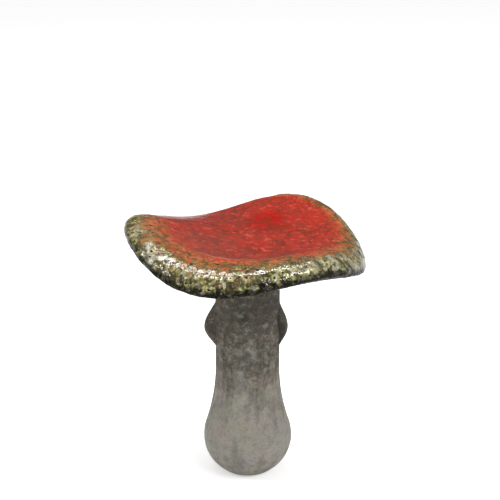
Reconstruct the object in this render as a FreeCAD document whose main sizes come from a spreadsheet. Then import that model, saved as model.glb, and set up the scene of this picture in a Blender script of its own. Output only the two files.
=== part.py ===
import FreeCAD, Part
import math
import os

import Sketcher
from FreeCAD import Placement, Rotation, Vector

os.makedirs("parts", exist_ok=True)
doc = FreeCAD.newDocument("MushroomOrnament")

# Driving sizes. Lengths are in millimetres, angles in degrees from +X towards +Y, shares have no unit
driving_sizes = [
    ("FootRadius", 17.4, "flat foot that the ornament stands on"),
    ("FootEdge", 1.2, "rounding of the foot's outer edge"),
    ("VentRadius", 3.0, "vent hole of the hollow casting"),
    ("VentOffset", 9.0, "place of the vent hole behind the middle of the sole"),
    ("FloorThickness", 6.0, "floor of the hollow stem"),
    ("StemWall", 5.0, "wall of the hollow stem"),
    ("HollowNeckHeight", 82.0, "height where the hollow becomes straight"),
    ("BulbRadius", 33.7, "widest radius of the bulb"),
    ("BulbHeight", 27.5, "height of the bulb's widest level"),
    ("WaistRadius", 155.0, "radius of the hollow curve from bulb to neck"),
    ("NeckRadius", 24.3, "straight neck"),
    ("StemHeight", 165.0, "height of the neck's shoulder"),
    ("ShoulderThickness", 6.0, "thickness of the neck's closed top"),
    ("SpigotRadius", 14.0, "spigot that enters the cap"),
    ("SpigotProud", 2.0, "how far the spigot stands above the cap's underside plate"),
    ("PourRadius", 8.5, "pouring hole down through the spigot"),
    ("LutingGap", 0.1, "clearance between round luted faces"),
    ("SeamGap", 0.3, "clearance between wavy luted faces"),
    ("JointThickness", 1.0, "bed of luting between shoulder and cap"),
    ("BeadReach", 3.5, "sloping bead of luting around the top of the neck"),
    ("BossMargin", 1.6, "how far the cap's boss stands out past that bead"),
    ("CapRise", 24.8, "top of the cap at its axis, above the boss"),
    ("CapRadius", 89.0, "mean radius of the cap's outline"),
    ("DishCore", 20.0, "radius of the flat middle of the dish"),
    ("CeilingCore", 34.0, "radius of the flat middle of the ceiling below it"),
    ("PlateCore", 28.0, "radius of the flat middle of the underside plate"),
    ("CapShift", 0.6, "place of the cap's centre along X"),
    ("OutlineSwell", 3.9, "how far the outline swells to one side"),
    ("OutlineSwellAngle", 241.0, "side that it swells to"),
    ("OutlineOval", 1.2, "how far the outline is drawn out both ways"),
    ("OutlineOvalAngle", 35.0, "direction that it is drawn out in"),
    ("DishRise", 3.9, "mean rise of the dish from its centre to the rim"),
    ("CapTilt", 4.5, "rise of the tilted cap at its high side"),
    ("CapTiltAngle", 202.7, "high side of the tilt"),
    ("SaddleRise", 5.3, "rise of the two-way wave at the rim"),
    ("SaddleAngle", 36.0, "first crest of the two-way wave"),
    ("LobeRise", 10.2, "rise of the three-lobed wave at the rim"),
    ("LobeAngle", 62.8, "first crest of the three-lobed wave"),
    ("RollReach", 18.3, "width of the rounded shoulder of the rim"),
    ("RollDrop", 14.3, "height of that shoulder"),
    ("LipReach", 5.0, "width of the rounded lower edge of the rim"),
    ("LipDrop", 4.1, "height of that lower edge"),
    ("CapWall", 5.0, "wall of the dish"),
    ("RimWall", 6.5, "wall of the lip around the underside plate"),
    ("LedgeWidth", 2.5, "ledge inside the lip that the plate is luted to"),
    ("PlateThickness", 4.0, "underside plate"),
    ("PlateRecess", 1.5, "how far the plate lies above the lip's lower edge"),
    ("PlateSag", 5.0, "how far the plate comes down towards the neck"),
    ("GillDepth", 2.8, "depth of the gills below the plate"),
    ("GillThickness", 2.2, "thickness of one gill"),
    ("GillStart", 33.0, "radius where the long gills start"),
    ("ShortGillStart", 54.0, "radius where the short gills start"),
    ("GillMargin", 7.0, "bare band of the plate outside the gills"),
    ("SkirtTopShare", 0.682, "top of the skirt, as a share of the straight neck"),
    ("SkirtWidestShare", 0.403, "widest level of the skirt, as the same share"),
    ("SkirtLowShare", 0.211, "lower edge of the skirt, as the same share"),
    ("SkirtEdge", 1.0, "thickness of the skirt's upper and lower edges"),
    ("SkirtReach", 4.4, "mean reach of the skirt from the neck"),
    ("SkirtEars", 1.9, "how much further it reaches at its two sides"),
    ("SkirtLean", 1.45, "how much further it reaches to the -X side"),
    ("PleatDepth", 1.2, "depth of its pleats"),
]
# Sizes that follow from them. Drops are measured down from the cap's waved upper sheet
derived_sizes = [
    ("BossHeight", "=StemHeight + JointThickness", "height of the cap's flat boss"),
    ("LipLowDrop", "=RollDrop + LipDrop", "drop of the lip's lower edge"),
    ("PlateLowDrop", "=LipLowDrop - PlateRecess", "drop of the plate's lower skin"),
    ("PlateHighDrop", "=PlateLowDrop - PlateThickness", "drop of the plate's upper skin"),
    ("LedgeDrop", "=PlateHighDrop - SeamGap", "drop of the ledge"),
    ("PlateTop", "=BossHeight + CapRise - PlateSag - PlateHighDrop", "height of the plate at its axis"),
    ("SpigotTop", "=PlateTop + SpigotProud", "height of the spigot's top"),
    ("WaistOut", "=NeckRadius + WaistRadius", "how far the waist's centre lies from the axis"),
    ("WaistReach", "=BulbRadius + WaistRadius", "from the bulb's centre to the waist's centre"),
    ("NeckStart", "=BulbHeight + sqrt(WaistReach^2 - WaistOut^2)", "where the straight neck starts"),
    ("NeckLength", "=StemHeight - BeadReach - NeckStart", "straight neck below the bead"),
    ("SkirtTop", "=NeckStart + SkirtTopShare * NeckLength", "height of the skirt's top"),
    ("SkirtWidest", "=NeckStart + SkirtWidestShare * NeckLength", "height of its widest level"),
    ("SkirtLow", "=NeckStart + SkirtLowShare * NeckLength", "height of its lower edge"),
]
# Counts
gill_pairs = 18
pleats = 8
ring_points = 16
skirt_points = 32
# Places of the section rings, as shares of the stretch that they divide
dish_shares = (0.45, 0.6, 0.75, 0.88, 1.0)
roll_shares = (0.16, 0.32, 0.48, 0.64, 0.8, 1.0)
lip_shares = (0.3, 0.6, 1.0)
ceiling_shares = (0.75, 1.0)
ceiling_roll_shares = (0.55, 1.0)
plate_shares = (0.55, 0.7, 0.85, 1.0)
gill_shares = (0.0, 0.2, 0.5, 0.85, 1.0)
gill_depth_shares = (0.3, 1.0, 1.0, 1.0, 0.3)
skirt_rise_shares = (0.85, 0.7, 0.55, 0.4, 0.2, 0.0)
skirt_fall_shares = (0.3, 0.5, 0.65, 0.8, 0.9)
# Middle of the hollow between bulb and neck, as a share of how much the bulb is wider
hollow_waist_share = 0.3
# Sharpness of the upper slope of the skirt, without a unit
skirt_slope_share = 1.4
# How far cutting tools run past what they cut
overrun = 2.0

sheet = doc.addObject("Spreadsheet::Sheet", "Sizes")
all_sizes = driving_sizes + derived_sizes
for row, (name, value, meaning) in enumerate(all_sizes, start=1):
    sheet.set(f"A{row}", meaning)
    sheet.set(f"B{row}", str(value))
    sheet.setAlias(f"B{row}", name)
doc.recompute()
size = {name: float(sheet.get(name)) for name, value, meaning in all_sizes}


# The cap is one waved sheet: every skin of it follows this outline and this height


def outline(angle):
    swell = size["OutlineSwell"] * math.cos(angle - math.radians(size["OutlineSwellAngle"]))
    oval = size["OutlineOval"] * math.cos(2 * (angle - math.radians(size["OutlineOvalAngle"])))
    return size["CapRadius"] + swell + oval


def cap_height(share, angle):
    dish = size["DishRise"] * share**2
    tilt = size["CapTilt"] * share * math.cos(angle - math.radians(size["CapTiltAngle"]))
    saddle = size["SaddleRise"] * share**2 * math.cos(2 * (angle - math.radians(size["SaddleAngle"])))
    lobes = size["LobeRise"] * share**3 * math.cos(3 * (angle - math.radians(size["LobeAngle"])))
    return size["BossHeight"] + size["CapRise"] + dish + tilt + saddle + lobes


def closed_ring(name, count, point_at):
    curve = Part.BSplineCurve()
    points = [point_at(2 * math.pi * step / count) for step in range(count)]
    curve.interpolate(Points=points, PeriodicFlag=True)
    ring = doc.addObject("Part::Feature", name)
    ring.Shape = Part.Wire([curve.toShape()])
    return ring


def cap_ring(name, inset, drop, share=1.0, core=0.0, sag=0.0):
    # A ring at a share of the way from the core radius to the outline less its inset

    def point_at(angle):
        radius = core + share * (outline(angle) - inset - core)
        place = radius / outline(angle)
        height = cap_height(place, angle) - drop - sag * (1 - place**2)
        return Vector(size["CapShift"] + radius * math.cos(angle), radius * math.sin(angle), height)

    return closed_ring(name, ring_points, point_at)


def core_ring(name, radius, drop, sag=0.0):
    # A round ring in one tilted plane, where the sheet is still nearly flat
    share = radius / size["CapRadius"]
    middle = size["BossHeight"] + size["CapRise"] + size["DishRise"] * share**2
    middle -= drop + sag * (1 - share**2)

    def point_at(angle):
        tilt = size["CapTilt"] * share * math.cos(angle - math.radians(size["CapTiltAngle"]))
        across = size["CapShift"] + radius * math.cos(angle)
        return Vector(across, radius * math.sin(angle), middle + tilt)

    return closed_ring(name, ring_points, point_at)


def lofted(name, sections, closed=False):
    loft = doc.addObject("Part::Loft", name)
    loft.Sections = sections
    loft.Ruled = True
    loft.Solid = True
    loft.Closed = closed
    return loft


def cap_top():
    # The sections run from the dish over the rolled rim to the lip, and back along the ceiling
    sections = [core_ring("DishCore", size["DishCore"], 0)]
    for share in dish_shares:
        sections.append(cap_ring("DishRing", size["RollReach"], 0, share))
    for share in roll_shares:
        turn = share * math.pi / 2
        inset = size["RollReach"] * (1 - math.sin(turn))
        sections.append(cap_ring("RollRing", inset, size["RollDrop"] * (1 - math.cos(turn))))
    for share in lip_shares:
        turn = share * math.pi / 2
        inset = size["LipReach"] * (1 - math.cos(turn))
        sections.append(cap_ring("LipRing", inset, size["RollDrop"] + size["LipDrop"] * math.sin(turn)))
    sections.append(cap_ring("LipInner", size["RimWall"], size["LipLowDrop"]))
    sections.append(cap_ring("LedgeOuter", size["RimWall"], size["LedgeDrop"]))
    ledge_inset = size["RimWall"] + size["LedgeWidth"]
    for share in reversed(ceiling_roll_shares):
        turn = share * math.pi / 2
        inset = size["RollReach"] - (size["RollReach"] - ledge_inset) * math.sin(turn)
        drop = size["CapWall"] + (size["LedgeDrop"] - size["CapWall"]) * (1 - math.cos(turn))
        sections.append(cap_ring("InnerRollRing", inset, drop))
    for share in reversed(ceiling_shares):
        sections.append(cap_ring("CeilingRing", size["RollReach"], size["CapWall"], share))
    sections.append(core_ring("CeilingCore", size["CeilingCore"], size["CapWall"]))
    return lofted("cap_top", sections)


def gills():
    # A band under the plate with the gills' depth, from which radial blades keep only the gills
    inset = size["RimWall"] + size["SeamGap"] + size["GillMargin"]
    start = size["GillStart"]
    sag = size["PlateSag"]
    root_drop = size["PlateLowDrop"] - size["PlateThickness"] / 2
    sections = []
    for share, depth_share in zip(gill_shares, gill_depth_shares):
        drop = size["PlateLowDrop"] + depth_share * size["GillDepth"]
        sections.append(cap_ring("GillRing", inset, drop, share, start, sag))
    for share in reversed(gill_shares):
        sections.append(cap_ring("GillRootRing", inset, root_drop, share, start, sag))
    band = lofted("GillBand", sections, closed=True)
    doc.recompute()
    bounds = band.Shape.BoundBox
    blades = []
    for number in range(2 * gill_pairs):
        first = size["GillStart"] if number % 2 == 0 else size["ShortGillStart"]
        blade = doc.addObject("Part::Box", f"GillBlade{number}")
        blade.Length = bounds.DiagonalLength - first
        blade.setExpression("Width", "Sizes.GillThickness")
        blade.Height = bounds.ZLength + 2 * overrun
        turn = Rotation(Vector(0, 0, 1), (number + 0.5) * 180 / gill_pairs)
        corner = turn.multVec(Vector(first, -size["GillThickness"] / 2, 0))
        corner += Vector(size["CapShift"], 0, bounds.ZMin - overrun)
        blade.Placement = Placement(corner, turn)
        blades.append(blade)
    fan = doc.addObject("Part::Compound", "GillFan")
    fan.Links = blades
    cut = doc.addObject("Part::Common", "Gills")
    cut.Base = band
    cut.Tool = fan
    return cut


def cap_underside():
    # A waved plate inside the lip, with a flat boss for the neck, the spigot's hole and the gills
    inset = size["RimWall"] + size["SeamGap"]
    sag = size["PlateSag"]
    sections = [core_ring("PlateLowCore", size["PlateCore"], size["PlateLowDrop"], sag)]
    for share in plate_shares:
        sections.append(cap_ring("PlateLowRing", inset, size["PlateLowDrop"], share, sag=sag))
    for share in reversed(plate_shares):
        sections.append(cap_ring("PlateHighRing", inset, size["PlateHighDrop"], share, sag=sag))
    sections.append(core_ring("PlateHighCore", size["PlateCore"], size["PlateHighDrop"], sag))
    plate = lofted("PlateSheet", sections)
    boss = doc.addObject("Part::Cylinder", "Boss")
    boss.setExpression("Radius", "Sizes.NeckRadius + Sizes.LutingGap + Sizes.BeadReach + Sizes.BossMargin")
    boss.setExpression("Height", "Sizes.PlateTop - Sizes.BossHeight")
    boss.setExpression("Placement.Base.z", "Sizes.BossHeight")
    joined = doc.addObject("Part::MultiFuse", "PlateWithGills")
    joined.Shapes = [plate, boss, gills()]
    hole = doc.addObject("Part::Cylinder", "SpigotHole")
    hole.setExpression("Radius", "Sizes.SpigotRadius + Sizes.LutingGap")
    hole.setExpression("Height", f"Sizes.CapRise + {2 * overrun}")
    hole.setExpression("Placement.Base.z", f"Sizes.BossHeight - {overrun}")
    drilled = doc.addObject("Part::Cut", "cap_underside")
    drilled.Base = joined
    drilled.Tool = hole
    return drilled


# Sketches lie on the body's own planes, and their sizes are tied to the sheet


def body_plane(body, role):
    return next(plane for plane in body.Origin.OriginFeatures if plane.Role == role)


def body_sketch(body, name, role):
    sketch = body.newObject("Sketcher::SketchObject", name)
    sketch.AttachmentSupport = [(body_plane(body, role), "")]
    sketch.MapMode = "FlatFace"
    return sketch


def add_size(sketch, name, expression, kind, *where):
    value = float(sketch.evalExpression(expression))
    index = sketch.addConstraint(Sketcher.Constraint(kind, *where, value))
    sketch.renameConstraint(index, name)
    sketch.setExpression(f"Constraints.{name}", expression)


def link(sketch, kind, *where):
    sketch.addConstraint(Sketcher.Constraint(kind, *where))


def line(sketch, start, end):
    return sketch.addGeometry(Part.LineSegment(Vector(*start, 0), Vector(*end, 0)))


def arc(sketch, centre, radius, first_angle, last_angle):
    circle = Part.Circle(Vector(*centre, 0), Vector(0, 0, 1), radius)
    return sketch.addGeometry(Part.ArcOfCircle(circle, first_angle, last_angle))


def turned(body, kind, name, sketch):
    require_solved(sketch)
    feature = body.newObject(kind, name)
    feature.Profile = sketch
    feature.ReferenceAxis = (sketch, ["V_Axis"])
    feature.Angle = 360
    return feature


def require_solved(sketch):
    doc.recompute()
    if sketch.solve() != 0 or not sketch.FullyConstrained:
        raise RuntimeError(f"{sketch.Name} isn't fully solved")


def require_less(before, after):
    doc.recompute()
    if after.Shape.Volume >= before.Shape.Volume:
        raise RuntimeError(f"{after.Name} cut nothing")


def path(sketch, *lines):
    for before, after in zip(lines, lines[1:]):
        link(sketch, "Coincident", before, 2, after, 1)


def chain(sketch, *corners):
    # Straight lines from corner to corner, level and upright ones held so
    lines = []
    for start, end in zip(corners, corners[1:]):
        lines.append(line(sketch, start, end))
        if start[0] == end[0]:
            link(sketch, "Vertical", lines[-1])
        elif start[1] == end[1]:
            link(sketch, "Horizontal", lines[-1])
    path(sketch, *lines)
    return lines


def add_place(sketch, name, across, up, item, end):
    add_size(sketch, f"{name}_across", across, "DistanceX", -1, 1, item, end)
    add_size(sketch, f"{name}_up", up, "DistanceY", -1, 1, item, end)


def stem_outside(body):
    # The turned outside: sole, heel, bulb, waist, neck, shoulder and spigot
    sketch = body_sketch(body, "StemProfile", "XZ_Plane")
    foot = size["FootRadius"]
    bulb = size["BulbRadius"]
    level = size["BulbHeight"]
    waist = size["WaistRadius"]
    neck = size["NeckRadius"]
    shoulder = size["StemHeight"]
    spigot = size["SpigotRadius"]
    spigot_top = size["SpigotTop"]
    heel = ((bulb - foot)**2 + level**2) / (2 * (bulb - foot))
    waist_top = size["NeckStart"]
    lean = math.atan2(waist_top - level, neck + waist)
    heel_arc = arc(sketch, (bulb - heel, level), heel, -math.atan2(level, heel - bulb + foot), 0)
    bulb_arc = arc(sketch, (0, level), bulb, 0, lean)
    waist_arc = arc(sketch, (neck + waist, waist_top), waist, math.pi, math.pi + lean)
    corners = ((neck, waist_top), (neck, shoulder), (spigot, shoulder), (spigot, spigot_top))
    corners += ((0, spigot_top), (0, 0), (foot, 0))
    lines = chain(sketch, *corners)
    neck_line, shoulder_line, spigot_line, top_line, axis_line, sole = lines
    link(sketch, "Coincident", sole, 1, -1, 1)
    link(sketch, "Coincident", sole, 2, heel_arc, 1)
    link(sketch, "Tangent", heel_arc, 2, bulb_arc, 1)
    link(sketch, "Horizontal", heel_arc, 3, bulb_arc, 3)
    link(sketch, "PointOnObject", bulb_arc, 3, -2)
    link(sketch, "Tangent", bulb_arc, 2, waist_arc, 2)
    link(sketch, "Tangent", waist_arc, 1, neck_line, 1)
    add_size(sketch, "foot", "Sizes.FootRadius", "DistanceX", sole, 1, sole, 2)
    add_size(sketch, "bulb", "Sizes.BulbRadius", "Radius", bulb_arc)
    add_size(sketch, "bulb_height", "Sizes.BulbHeight", "DistanceY", -1, 1, bulb_arc, 3)
    add_size(sketch, "waist", "Sizes.WaistRadius", "Radius", waist_arc)
    add_place(sketch, "shoulder", "Sizes.NeckRadius", "Sizes.StemHeight", shoulder_line, 1)
    add_place(sketch, "spigot", "Sizes.SpigotRadius", "Sizes.SpigotTop", top_line, 1)
    return sketch


def stem_hollow(body):
    # The hollow casting inside, which opens up through the spigot
    sketch = body_sketch(body, "HollowProfile", "XZ_Plane")
    level = size["BulbHeight"]
    floor = size["FloorThickness"]
    bulb = size["BulbRadius"] - size["StemWall"]
    neck = size["NeckRadius"] - size["StemWall"]
    waist = neck + hollow_waist_share * (bulb - neck)
    waist_height = (level + size["HollowNeckHeight"]) / 2
    reach = size["FootRadius"]
    ceiling = size["StemHeight"] - size["ShoulderThickness"]
    pour = size["PourRadius"]
    top = size["SpigotTop"] + overrun
    corners = ((0, floor), (reach, floor), (bulb, level), (waist, waist_height))
    corners += ((neck, size["HollowNeckHeight"]), (neck, ceiling), (pour, ceiling), (pour, top))
    corners += ((0, top), (0, floor))
    lines = chain(sketch, *corners)
    path(sketch, lines[-1], lines[0])
    floor_line, bulb_line, waist_line, throat_line, neck_line, ceiling_line, pour_line, *rest = lines
    neck_size = "Sizes.NeckRadius - Sizes.StemWall"
    waist_size = f"{neck_size} + {hollow_waist_share} * (Sizes.BulbRadius - Sizes.NeckRadius)"
    waist_height_size = "(Sizes.BulbHeight + Sizes.HollowNeckHeight) / 2"
    link(sketch, "PointOnObject", floor_line, 1, -2)
    add_place(sketch, "floor", "Sizes.FootRadius", "Sizes.FloorThickness", floor_line, 2)
    add_place(sketch, "bulb", "Sizes.BulbRadius - Sizes.StemWall", "Sizes.BulbHeight", bulb_line, 2)
    add_place(sketch, "waist", waist_size, waist_height_size, waist_line, 2)
    add_place(sketch, "neck", neck_size, "Sizes.HollowNeckHeight", throat_line, 2)
    ceiling_size = "Sizes.StemHeight - Sizes.ShoulderThickness"
    add_size(sketch, "ceiling", ceiling_size, "DistanceY", -1, 1, neck_line, 2)
    add_place(sketch, "pour", "Sizes.PourRadius", f"Sizes.SpigotTop + {overrun}", pour_line, 2)
    return sketch


def stem():
    body = doc.addObject("PartDesign::Body", "stem")
    casting = turned(body, "PartDesign::Revolution", "Casting", stem_outside(body))
    hollowed = turned(body, "PartDesign::Groove", "Hollow", stem_hollow(body))
    require_less(casting, hollowed)

    # The vent hole goes up through the floor from the sole
    vent = body_sketch(body, "VentCircle", "XY_Plane")
    centre = Vector(0, size["VentOffset"], 0)
    circle = vent.addGeometry(Part.Circle(centre, Vector(0, 0, 1), size["VentRadius"]))
    link(vent, "PointOnObject", circle, 3, -2)
    add_size(vent, "radius", "Sizes.VentRadius", "Radius", circle)
    add_size(vent, "offset", "Sizes.VentOffset", "DistanceY", -1, 1, circle, 3)
    require_solved(vent)
    vented = body.newObject("PartDesign::Pocket", "VentHole")
    vented.Profile = vent
    vented.Reversed = True
    vented.setExpression("Length", f"Sizes.FloorThickness + {overrun}")
    require_less(hollowed, vented)
    rounded = body.newObject("PartDesign::Fillet", "FootRounding")
    rounded.Base = (vented, [sole_edge(vented.Shape)])
    rounded.setExpression("Radius", "Sizes.FootEdge")
    require_less(vented, rounded)
    return body


def sole_edge(shape):
    # The foot's outer edge is the longest edge of the lowest face
    sole = min(shape.Faces, key=lambda face: face.CenterOfMass.z)
    outer = max(sole.Edges, key=lambda edge: edge.Length)
    return next(f"Edge{number}" for number, edge in enumerate(shape.Edges, start=1) if edge.isSame(outer))


def neck_joint():
    # A bed of luting under the boss with a sloping bead around the top of the neck
    body = doc.addObject("PartDesign::Body", "neck_joint")
    sketch = body_sketch(body, "JointProfile", "XZ_Plane")
    bore = size["SpigotRadius"] + size["LutingGap"]
    face = size["NeckRadius"] + size["LutingGap"]
    bed = size["StemHeight"]
    low = bed - size["BeadReach"]
    corners = ((bore, bed), (face, bed), (face, low), (face + size["BeadReach"], bed))
    top = size["BossHeight"]
    corners += ((face + size["BeadReach"], top), (bore, top), (bore, bed))
    lines = chain(sketch, *corners)
    path(sketch, lines[-1], lines[0])
    bed_line, face_line, slope_line, edge_line, top_line, bore_line = lines
    bore_size = "Sizes.SpigotRadius + Sizes.LutingGap"
    face_size = "Sizes.NeckRadius + Sizes.LutingGap"
    add_place(sketch, "bore", bore_size, "Sizes.StemHeight", bed_line, 1)
    add_place(sketch, "face", face_size, "Sizes.StemHeight - Sizes.BeadReach", face_line, 2)
    add_place(sketch, "edge", f"{face_size} + Sizes.BeadReach", "Sizes.StemHeight", slope_line, 2)
    add_size(sketch, "top", "Sizes.BossHeight", "DistanceY", -1, 1, edge_line, 2)
    turned(body, "PartDesign::Revolution", "Bead", sketch)
    return body


def skirt():
    # Level rings with the pleats of the hanging skirt, then the bore for the neck
    def reach(angle):
        ears = size["SkirtEars"] * math.cos(2 * angle)
        lean = size["SkirtLean"] * math.cos(angle)
        folds = size["PleatDepth"] * math.cos(pleats * angle)
        return size["SkirtReach"] + ears - lean + folds

    def level_ring(height, flare):
        def point_at(angle):
            radius = size["NeckRadius"] + size["SkirtEdge"] + flare * (reach(angle) - size["SkirtEdge"])
            return Vector(radius * math.cos(angle), radius * math.sin(angle), height)

        return closed_ring("SkirtRing", skirt_points, point_at)

    rise = size["SkirtTop"] - size["SkirtWidest"]
    fall = size["SkirtWidest"] - size["SkirtLow"]
    sections = [level_ring(size["SkirtTop"], 0)]
    for share in skirt_rise_shares:
        flare = math.cos(share * math.pi / 2)**skirt_slope_share
        sections.append(level_ring(size["SkirtWidest"] + share * rise, flare))
    for share in skirt_fall_shares:
        sections.append(level_ring(size["SkirtWidest"] - share * fall, math.cos(share * math.pi / 2)))
    sections.append(level_ring(size["SkirtLow"], 0))
    folds = lofted("SkirtFolds", sections)
    bore = doc.addObject("Part::Cylinder", "SkirtBore")
    bore.setExpression("Radius", "Sizes.NeckRadius + Sizes.LutingGap")
    bore.setExpression("Height", f"Sizes.SkirtTop - Sizes.SkirtLow + {2 * overrun}")
    bore.setExpression("Placement.Base.z", f"Sizes.SkirtLow - {overrun}")
    bored = doc.addObject("Part::Cut", "skirt")
    bored.Base = folds
    bored.Tool = bore
    return bored


pieces = [stem(), skirt(), neck_joint(), cap_underside(), cap_top()]
doc.recompute()
for item in doc.Objects:
    if "Invalid" in item.State or "Error" in item.State:
        raise RuntimeError(f"{item.Name} failed")
for piece in pieces:
    piece.Label = piece.Name
    shape = piece.Shape
    if shape.isNull() or not shape.isValid() or len(shape.Solids) != 1:
        raise RuntimeError(f"{piece.Name} isn't one sound solid")
    shape.exportStep(f"parts/{piece.Label}.step")
    print(piece.Label, round(shape.Volume), "mm3")
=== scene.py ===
import bpy
import math
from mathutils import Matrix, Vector, kdtree, noise


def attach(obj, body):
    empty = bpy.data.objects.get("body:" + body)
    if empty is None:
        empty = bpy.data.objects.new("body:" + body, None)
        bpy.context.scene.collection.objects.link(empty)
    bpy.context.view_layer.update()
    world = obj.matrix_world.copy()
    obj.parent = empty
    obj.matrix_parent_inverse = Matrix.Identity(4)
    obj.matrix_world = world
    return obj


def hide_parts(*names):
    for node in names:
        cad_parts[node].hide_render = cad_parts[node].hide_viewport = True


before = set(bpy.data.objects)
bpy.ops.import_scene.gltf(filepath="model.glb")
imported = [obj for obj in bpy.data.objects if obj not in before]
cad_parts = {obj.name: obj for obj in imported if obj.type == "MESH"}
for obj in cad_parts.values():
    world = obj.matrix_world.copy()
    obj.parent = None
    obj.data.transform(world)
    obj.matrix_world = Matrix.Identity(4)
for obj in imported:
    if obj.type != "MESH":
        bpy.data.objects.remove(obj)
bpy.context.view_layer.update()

mm = 0.001
print("frame loaded:", ", ".join(sorted(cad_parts)))


# Modelling helpers

weld = 0.02  # millimetres: vertices that lie closer become one


def pickNothing():
    if bpy.context.object and bpy.context.object.mode != "OBJECT":
        bpy.ops.object.mode_set(mode="OBJECT")
    bpy.ops.object.select_all(action="DESELECT")


def turnPiece(name, profile, steps):
    # A small plane is merged to one point, pulled along the profile and spun like clay on a wheel
    pickNothing()
    bpy.ops.mesh.primitive_plane_add(size=mm, location=(0, 0, 0))
    piece = bpy.context.object
    piece.name = piece.data.name = name
    bpy.ops.object.mode_set(mode="EDIT")
    bpy.ops.mesh.merge(type="CENTER")
    bpy.ops.transform.translate(value=(profile[0][0] * mm, 0, profile[0][1] * mm))
    for before, after in zip(profile, profile[1:]):
        pull = ((after[0] - before[0]) * mm, 0, (after[1] - before[1]) * mm)
        bpy.ops.mesh.extrude_region_move(TRANSFORM_OT_translate={"value": pull})
    bpy.ops.mesh.select_all(action="SELECT")
    bpy.ops.mesh.spin(steps=steps, angle=2 * math.pi, center=(0, 0, 0), axis=(0, 0, 1))
    bpy.ops.mesh.select_all(action="SELECT")
    bpy.ops.mesh.remove_doubles(threshold=weld * mm)
    bpy.ops.mesh.normals_make_consistent(inside=False)
    bpy.ops.object.mode_set(mode="OBJECT")
    bpy.ops.object.shade_smooth()
    return piece


def readStations(piece, profile):
    # Which profile point each vertex came from, and its angle round the axis
    tree = kdtree.KDTree(len(profile))
    for number, (out, up) in enumerate(profile):
        tree.insert((out, up, 0), number)
    tree.balance()
    stations = []
    for vertex in piece.data.vertices:
        out = math.hypot(vertex.co.x, vertex.co.y) / mm
        angle = math.atan2(vertex.co.y, vertex.co.x)
        stations.append((tree.find((out, vertex.co.z / mm, 0))[1], angle))
    return stations


def sinkFace(piece, sinks):
    # Each vertex goes in along its normal by its own depth in millimetres
    places = [vertex.co - vertex.normal * sink * mm for vertex, sink in zip(piece.data.vertices, sinks)]
    for vertex, place in zip(piece.data.vertices, places):
        vertex.co = place
    piece.data.update()


def storeValues(piece, name, values):
    layer = piece.data.attributes.new(name, "FLOAT", "POINT")
    layer.data.foreach_set("value", values)


def smoothStep(low, high, value):
    share = min(max((value - low) / (high - low), 0), 1)
    return share * share * (3 - 2 * share)


def bell(off, width):
    return math.exp(-(off / width) ** 2)


def turnFrom(middle, angle):
    # Degrees from a direction to an angle in radians, the short way round
    return (math.degrees(angle) - middle + 180) % 360 - 180


def quarter(count):
    return [step / count * math.pi / 2 for step in range(1, count + 1)]


# Material helpers

def newMaterial(name):
    material = bpy.data.materials.new(name)
    material.use_nodes = True
    material.node_tree.nodes.clear()
    return material, material.node_tree


def addNode(tree, kind, inputs=None, **settings):
    made = tree.nodes.new("ShaderNode" + kind)
    for key, value in settings.items():
        setattr(made, key, value)
    for key, value in (inputs or {}).items():
        if isinstance(value, bpy.types.NodeSocket):
            tree.links.new(value, made.inputs[key])
        else:
            made.inputs[key].default_value = value
    return made


def calc(tree, operation, first, second):
    return addNode(tree, "Math", {0: first, 1: second}, operation=operation).outputs[0]


def times(tree, first, *others):
    for other in others:
        first = calc(tree, "MULTIPLY", first, other)
    return first


def swing(tree, value, amount):
    # A noise about one half, as a swing about zero
    return times(tree, calc(tree, "SUBTRACT", value, 0.5), amount)


def vectorCalc(tree, operation, place, other):
    return addNode(tree, "VectorMath", {0: place, 1: other}, operation=operation).outputs[0]


def scaled(tree, place, amount):
    return addNode(tree, "VectorMath", {0: place, "Scale": amount}, operation="SCALE").outputs[0]


def between(tree, value, low, high, start=0.0, end=1.0, kind="SMOOTHSTEP"):
    # Goes from start to end while the value goes from low to high, which may be the smaller one
    made = addNode(tree, "MapRange", {"Value": value, "From Min": low, "From Max": high,
                                      "To Min": start, "To Max": end}, interpolation_type=kind)
    return made.outputs["Result"]


def band(tree, value, rise, full, fade, end):
    return times(tree, between(tree, value, rise, full), between(tree, value, end, fade))


def mixColor(tree, share, first, second, blend="MIX"):
    made = addNode(tree, "Mix", data_type="RGBA", blend_type=blend)
    for key, value in ((0, share), (6, first), (7, second)):
        if isinstance(value, bpy.types.NodeSocket):
            tree.links.new(value, made.inputs[key])
        elif key == 0:
            made.inputs[key].default_value = value
        else:
            made.inputs[key].default_value = (*value, 1)
    return made.outputs[2]


def lay(tree, under, value, layer, where=None):
    # A coat of colour: the value's levels where it starts and is full, how much of it, its colour
    start, full, amount, tone = layer
    share = between(tree, value, start, full, 0.0, amount)
    if where is not None:
        share = times(tree, share, where)
    return mixColor(tree, share, under, tone)


def colorRamp(tree, value, stops):
    made = addNode(tree, "ValToRGB", {"Fac": value})
    ramp = made.color_ramp
    while len(ramp.elements) < len(stops):
        ramp.elements.new(0.5)
    for element, (place, color) in zip(ramp.elements, stops):
        element.position = place
        element.color = (*color, 1)
    return made.outputs["Color"]


def millimetres(tree):
    return scaled(tree, addNode(tree, "TexCoord").outputs["Object"], 1 / mm)


def surfaceValue(tree, name):
    return addNode(tree, "Attribute", attribute_name=name).outputs["Fac"]


def grain(tree, place, size, detail=2.0, roughness=0.5, output="Fac"):
    made = addNode(tree, "TexNoise", {"Vector": place, "Scale": 1 / size, "Detail": detail,
                                      "Roughness": roughness})
    return made.outputs[output]


def stirred(tree, place, size, amount):
    # The place pushed about by noise, so that cells and veins aren't regular
    push = grain(tree, place, size, 1.0, output="Color")
    centred = vectorCalc(tree, "SUBTRACT", push, (0.5, 0.5, 0.5))
    return vectorCalc(tree, "ADD", place, scaled(tree, centred, amount))


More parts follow.
